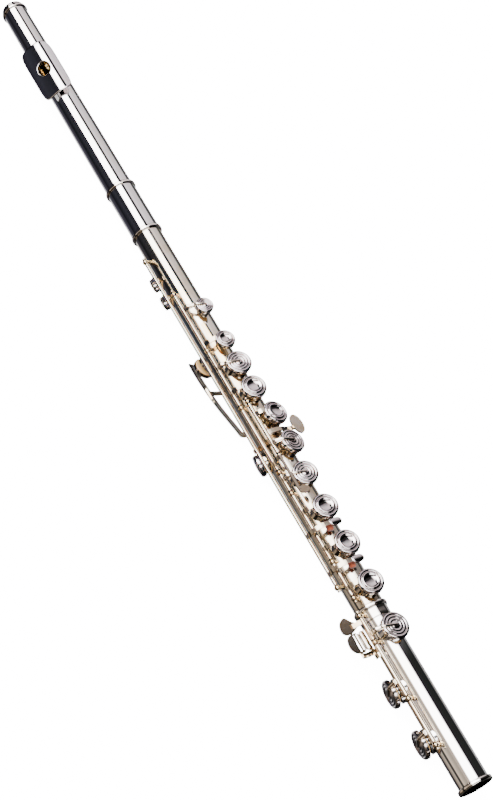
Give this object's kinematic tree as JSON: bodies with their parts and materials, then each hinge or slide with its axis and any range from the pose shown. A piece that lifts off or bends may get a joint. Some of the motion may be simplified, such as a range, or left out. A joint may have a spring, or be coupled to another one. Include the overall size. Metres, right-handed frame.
{
  "type": "concert flute",
  "caption": "Side-blown metal flute in three joints, with lip plate, padded cups on hinge rods, trill and foot keys.",
  "frame": {"origin": "centre of the foot joint's open end, on the bore's axis", "axes": "+X along the bore and out of the foot's open end; +Z the side of the finger cups; -Y the player's side, where the long rods are"},
  "size_m": [0.674, 0.0524, 0.0395],
  "materials": {
    "tube_silver": "polished silver plate on drawn tube",
    "lip_silver": "polished silver plate with engraved-free smooth lip surface",
    "key_silver": "polished silver plate, hand buffed",
    "roller_silver": "polished, turned",
    "rod_steel": "ground steel",
    "spring_steel": "blued needle spring",
    "brass": "turned brass",
    "cork": "natural cork",
    "pad_skin": "woven felt under a thin tan membrane"
  },
  "bodies": {
    "body": {"body_tube": "tube_silver", "barrel": "tube_silver", "barrel_rings": "tube_silver", "body_ribs": "tube_silver", "body_posts": "tube_silver", "upper_rod": "rod_steel", "lower_rod": "rod_steel", "thumb_rod": "rod_steel", "body_springs": "spring_steel"},
    "head_joint": {"head_tube": "tube_silver", "lip_plate": "lip_silver", "riser": "lip_silver"},
    "crown": {"crown": "tube_silver"},
    "stopper": {"stopper_cork": "cork", "stopper_screw": "brass", "stopper_nut": "brass"},
    "c_key": {"c_key": "key_silver", "c_pad": "pad_skin"},
    "bflat_key": {"bflat_key": "key_silver", "bflat_pad": "pad_skin"},
    "a_key": {"a_key": "key_silver", "a_pad": "pad_skin"},
    "g_key": {"g_key": "key_silver", "g_pads": "pad_skin", "g_rod": "rod_steel"},
    "gsharp_key": {"gsharp_key": "key_silver", "gsharp_pad": "pad_skin"},
    "thumb_b_key": {"thumb_b_key": "key_silver", "thumb_pad": "pad_skin"},
    "thumb_bflat_lever": {"thumb_bflat_lever": "key_silver"},
    "bflat_side_lever": {"bflat_side_lever": "key_silver"},
    "d_trill_key": {"d_trill_key": "key_silver", "d_trill_pad": "pad_skin"},
    "dsharp_trill_key": {"dsharp_trill_key": "key_silver", "dsharp_trill_pad": "pad_skin", "trill_rod": "rod_steel"},
    "fsharp_key": {"fsharp_key": "key_silver", "fsharp_pad": "pad_skin"},
    "f_key": {"f_key": "key_silver", "f_pad": "pad_skin"},
    "e_key": {"e_key": "key_silver", "e_pad": "pad_skin"},
    "d_key": {"d_key": "key_silver", "d_pad": "pad_skin"},
    "foot_joint": {"foot_tube": "tube_silver", "foot_socket": "tube_silver", "foot_end_ring": "tube_silver", "foot_rib": "tube_silver", "foot_posts": "tube_silver", "eflat_rod": "rod_steel", "foot_springs": "spring_steel"},
    "eflat_key": {"eflat_key": "key_silver", "eflat_pad": "pad_skin"},
    "foot_csharp_key": {"foot_csharp_key": "key_silver", "foot_csharp_pad": "pad_skin"},
    "foot_c_key": {"foot_c_key": "key_silver", "foot_c_pad": "pad_skin", "foot_rod": "rod_steel"},
    "csharp_roller": {"csharp_roller": "roller_silver"},
    "c_roller": {"c_roller": "roller_silver"}
  },
  "joints": [
    {"name": "head_turn", "type": "hinge", "parent": "body", "child": "head_joint", "pos_m": [-0.44508, 0, 0], "axis": [1, 0, 0], "continuous": true},
    {"name": "foot_turn", "type": "hinge", "parent": "body", "child": "foot_joint", "pos_m": [-0.11927, 0, 0], "axis": [1, 0, 0], "continuous": true},
    {"name": "crown_turn", "type": "hinge", "parent": "head_joint", "child": "crown", "pos_m": [-0.667, 0, 0], "axis": [1, 0, 0], "range_deg": [-360, 360]},
    {"name": "stopper_slide", "type": "slide", "parent": "head_joint", "child": "stopper", "axis": [1, 0, 0], "range_m": [-0.0007, 0.0007]},
    {"name": "c_key_press", "type": "hinge", "parent": "body", "child": "c_key", "pos_m": [-0.36108, -0.01274, 0.00796], "axis": [-1, 0, 0], "range_deg": [0, 10], "stiffness_Nm_per_rad": 0.02, "springref_deg": -17.19},
    {"name": "a_key_press", "type": "hinge", "parent": "body", "child": "a_key", "pos_m": [-0.2906, -0.01274, 0.00796], "axis": [-1, 0, 0], "range_deg": [0, 10], "stiffness_Nm_per_rad": 0.02, "springref_deg": -17.19},
    {"name": "bflat_key_press", "type": "hinge", "parent": "body", "child": "bflat_key", "pos_m": [-0.31146, -0.01274, 0.00796], "axis": [-1, 0, 0], "range_deg": [0, 10], "stiffness_Nm_per_rad": 0.02, "springref_deg": -17.19},
    {"name": "g_key_press", "type": "hinge", "parent": "body", "child": "g_key", "pos_m": [-0.26849, -0.00843, 0.01182], "axis": [-1, 0, 0], "range_deg": [0, 10], "stiffness_Nm_per_rad": 0.02, "springref_deg": -17.19},
    {"name": "gsharp_key_press", "type": "hinge", "parent": "body", "child": "gsharp_key", "pos_m": [-0.24508, -0.00843, 0.01182], "axis": [-1, 0, 0], "range_deg": [0, 5.5], "stiffness_Nm_per_rad": 0.02, "springref_deg": -17.19},
    {"name": "thumb_b_key_press", "type": "hinge", "parent": "body", "child": "thumb_b_key", "pos_m": [-0.33115, 0.00659, -0.01294], "axis": [-1, 0, 0], "range_deg": [0, 9], "stiffness_Nm_per_rad": 0.02, "springref_deg": -17.19},
    {"name": "thumb_bflat_press", "type": "hinge", "parent": "body", "child": "thumb_bflat_lever", "pos_m": [-0.33115, 0.00659, -0.01294], "axis": [-1, 0, 0], "range_deg": [0, 4], "stiffness_Nm_per_rad": 0.02, "springref_deg": -17.19},
    {"name": "side_lever_press", "type": "hinge", "parent": "body", "child": "bflat_side_lever", "pos_m": [-0.13663, -0.01274, 0.00796], "axis": [-1, 0, 0], "range_deg": [0, 6], "stiffness_Nm_per_rad": 0.02, "springref_deg": -17.19},
    {"name": "fsharp_key_press", "type": "hinge", "parent": "body", "child": "fsharp_key", "pos_m": [-0.22027, -0.01274, 0.00796], "axis": [-1, 0, 0], "range_deg": [0, 10], "stiffness_Nm_per_rad": 0.02, "springref_deg": -17.19},
    {"name": "f_key_press", "type": "hinge", "parent": "body", "child": "f_key", "pos_m": [-0.19398, -0.01274, 0.00796], "axis": [-1, 0, 0], "range_deg": [0, 10], "stiffness_Nm_per_rad": 0.02, "springref_deg": -17.19},
    {"name": "e_key_press", "type": "hinge", "parent": "body", "child": "e_key", "pos_m": [-0.16614, -0.01274, 0.00796], "axis": [-1, 0, 0], "range_deg": [0, 10], "stiffness_Nm_per_rad": 0.02, "springref_deg": -17.19},
    {"name": "d_key_press", "type": "hinge", "parent": "body", "child": "d_key", "pos_m": [-0.13663, -0.01274, 0.00796], "axis": [-1, 0, 0], "range_deg": [0, 10], "stiffness_Nm_per_rad": 0.02, "springref_deg": -17.19},
    {"name": "d_trill_press", "type": "hinge", "parent": "body", "child": "d_trill_key", "pos_m": [-0.38544, -0.01616, 0.00344], "axis": [-1, 0, 0], "range_deg": [0, 8], "stiffness_Nm_per_rad": 0.02, "springref_deg": -17.19},
    {"name": "dsharp_trill_press", "type": "hinge", "parent": "body", "child": "dsharp_trill_key", "pos_m": [-0.40158, -0.01616, 0.00344], "axis": [-1, 0, 0], "range_deg": [0, 8], "stiffness_Nm_per_rad": 0.02, "springref_deg": -17.19},
    {"name": "eflat_key_press", "type": "hinge", "parent": "foot_joint", "child": "eflat_key", "pos_m": [-0.10537, -0.01402, 0.00538], "axis": [1, 0, 0], "range_deg": [0, 11], "stiffness_Nm_per_rad": 0.02, "springref_deg": -17.19},
    {"name": "foot_csharp_press", "type": "hinge", "parent": "foot_joint", "child": "foot_csharp_key", "pos_m": [-0.07226, -0.01402, 0.00538], "axis": [1, 0, 0], "range_deg": [0, 10], "stiffness_Nm_per_rad": 0.02, "springref_deg": -17.19},
    {"name": "foot_c_press", "type": "hinge", "parent": "foot_joint", "child": "foot_c_key", "pos_m": [-0.03717, -0.01402, 0.00538], "axis": [1, 0, 0], "range_deg": [0, 10], "stiffness_Nm_per_rad": 0.02, "springref_deg": -17.19},
    {"name": "csharp_roller_spin", "type": "hinge", "parent": "foot_csharp_key", "child": "csharp_roller", "pos_m": [-0.07226, -0.01906, 0.00375], "axis": [1, 0, 0], "continuous": true},
    {"name": "c_roller_spin", "type": "hinge", "parent": "foot_c_key", "child": "c_roller", "pos_m": [-0.03717, -0.02243, 0.00363], "axis": [1, 0, 0], "continuous": true}
  ],
  "couplings": [
    {"joint": "crown_turn", "follows": "stopper_slide", "rad_per_m": -8950},
    {"joint": "bflat_key_press", "follows": "a_key_press", "ratio": 1},
    {"joint": "fsharp_key_press", "follows": "f_key_press", "ratio": 1}
  ]
}
